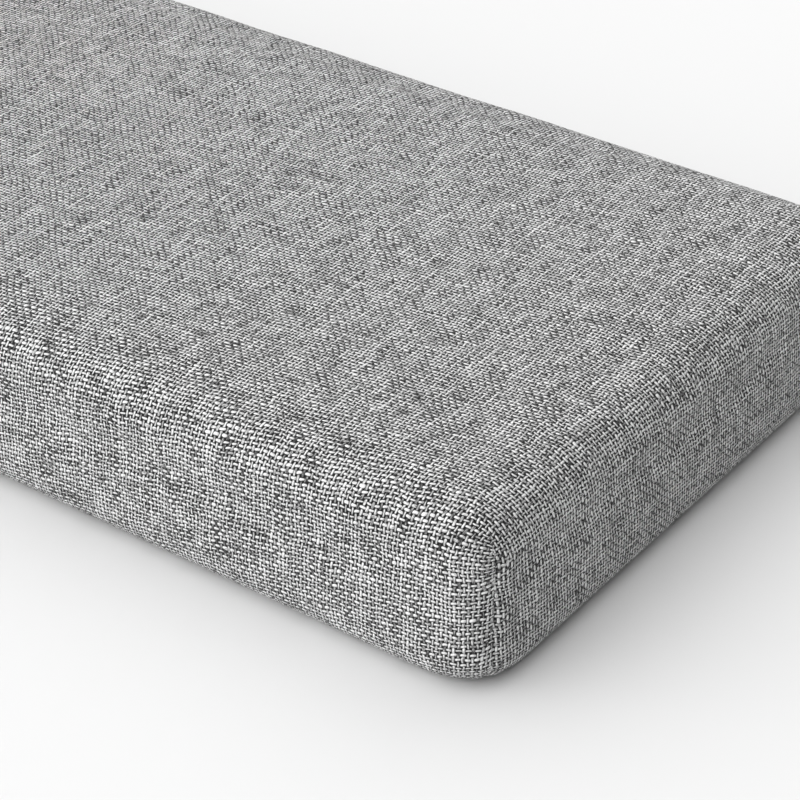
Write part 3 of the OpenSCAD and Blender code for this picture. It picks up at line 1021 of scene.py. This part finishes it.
half_y = (coil_top - tape_face) / 2 - WIRE_R
half_z = (coil_outer - HEAD_REACH) / 2 - WIRE_R
mid_y = (coil_top + tape_face) / 2
for side, name, node in ((1, "coil_row_upper", "zip_coil_upper"),
                         (-1, "coil_row_lower", "zip_coil_lower")):
    mid_z = ZIP_Z + side * (coil_outer + HEAD_REACH) / 2
    rings = wound(coil_high.x, mid_y, mid_z, half_y, half_z, math.pi * (side > 0))
    row = add_mesh(name, *closed_tube(rings), None, COIL_NYLON)
    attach(row, "pad")
    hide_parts(node)
print("two coil rows of", round(2 * coil_high.x / COIL_PITCH), "turns")

# %% Meshed heads, from the end of the coil to the slider
slider_low, slider_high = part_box("zip_slider")
slider_mid_x = (slider_low.x + slider_high.x) / 2
stop_x = -coil_high.x
HEAD_SIZE = (0.40 * MM, 0.85 * MM, 1.25 * MM)
HEAD_OFFSET = 0.45 * MM
head_x = np.arange(stop_x + HEAD_SIZE[0], slider_mid_x, COIL_PITCH / 2)
head_side = np.where(np.arange(len(head_x)) % 2 == 0, 1.0, -1.0)


def head_field(xs, sides_of_row):
    """Flattened eggs that reach from each row past the centre line.

    Each is (long sin a cos b, wide sin a sin b, tall cos a) round its own centre.
    """
    lat = np.linspace(0, math.pi, 6)
    lon = np.linspace(0, 2 * math.pi, 9)
    ga, go = np.meshgrid(lat, lon, indexing="ij")
    long, wide, tall = HEAD_SIZE
    egg = np.stack([long * np.sin(ga) * np.cos(go), wide * np.sin(ga) * np.sin(go),
                    tall * np.cos(ga)], -1)
    one_points, one_faces, _ = weld([(egg, egg[..., :2], True)])
    place = np.stack([xs, np.full_like(xs, mid_y), ZIP_Z + sides_of_row * HEAD_OFFSET], -1)
    return copies(one_points, one_faces, place)


heads = add_mesh("meshed_heads", *head_field(head_x, head_side), None, COIL_NYLON)
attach(heads, "pad")
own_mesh(heads)

# %% [markdown]
# ## Measured parts that stay
# Tapes, slider, pull, stops, stitches, label and corner allowances already have their real
# shape, so they only take a finish. The metal pieces are cast, not cut, so a small bevel
# rounds their edges.

# %% Finishes of the measured parts
FINISHES = (
    (SEAM_CLOTH, "cover_fabric", ["corner_seam_allowances"]),
    (THREAD, "sewing_thread", ["corner_seam_threads", "base_seam_thread", "zip_stitches"]),
    (ZIP_TAPE, "zip_tape", ["zip_tape_upper", "zip_tape_lower"]),
    (ZIP_METAL, "zip_metal", ["zip_slider", "zip_pull", "zip_top_stops", "zip_bottom_stop"]),
    (LABEL_TAPE, "label_tape", ["care_label"]),
)
CAST_EDGE = 0.22 * MM
for finish, slot, names in FINISHES:
    for name in names:
        part = nodes[name]
        part.data.materials.clear()
        part.data.materials.append(finish)
        if finish is ZIP_METAL:
            joined = part.modifiers.new("weld", "WELD")
            joined.merge_threshold = 0.005 * MM
            bevel = part.modifiers.new("cast_edges", "BEVEL")
            bevel.width = CAST_EDGE
            bevel.segments = 2
            bevel.limit_method = "ANGLE"
    print(slot, names)

# %% [markdown]
# ## Floor and light
# A pale floor and even light let the cloth speak. Two very broad lights stand in for studio
# softboxes: one overhead and to the left, and a weaker one low in front that lifts the long
# wall. The end wall is left mostly to the light that the floor sends back, so it is darker.
# Broad lights still shade each yarn, and they throw no hard shadow.


# %% Floor, sky and softboxes
def pale_floor():
    """Plain near-white floor with the faintest unevenness."""
    recipe = Recipe("pale_floor")
    cloud = recipe.noise(recipe.place(), 3.0, 2.0)
    colour = recipe.shade(cloud, (0.82, 0.82, 0.82), (0.84, 0.84, 0.84))
    return recipe.finish(colour, 0.9, None, Specular_IOR_Level=0.1)


FLOOR_HALF = 6.0
FLOOR_DROP = 0.05 * MM  # keeps the floor and the pad's foot from sharing a plane
floor_grid = np.stack(np.meshgrid(*[np.array([-FLOOR_HALF, FLOOR_HALF])] * 2, indexing="ij"), -1)
floor_place = np.concatenate([floor_grid, np.full_like(floor_grid[..., :1], -FLOOR_DROP)], -1)
floor = add_mesh("floor", *weld([(floor_place, floor_grid, False)]), pale_floor())

SKY_STRENGTH = 0.125
# For each light: the direction it comes from, its strength and its spread in degrees
LIGHTS = {
    "overhead_softbox": (Vector((-0.54, -0.08, 0.84)), 3.25, 140),
    "front_softbox": (Vector((-0.37, -0.89, 0.28)), 1.7, 80),
}
for name, (direction, strength, spread) in LIGHTS.items():
    light_data = bpy.data.lights.new(name, "SUN")
    light_data.energy = strength
    light_data.angle = math.radians(spread)
    light = bpy.data.objects.new(name, light_data)
    light.rotation_mode = "QUATERNION"
    light.rotation_quaternion = direction.normalized().to_track_quat("Z", "Y")
    bpy.context.scene.collection.objects.link(light)
world = bpy.data.worlds.new("studio_sky")
world.use_nodes = True
sky = world.node_tree.nodes["Background"]
sky.inputs["Color"].default_value = (1, 1, 1, 1)
sky.inputs["Strength"].default_value = SKY_STRENGTH
bpy.context.scene.world = world
bpy.context.scene.view_settings.view_transform = "Standard"
print("stage ready")
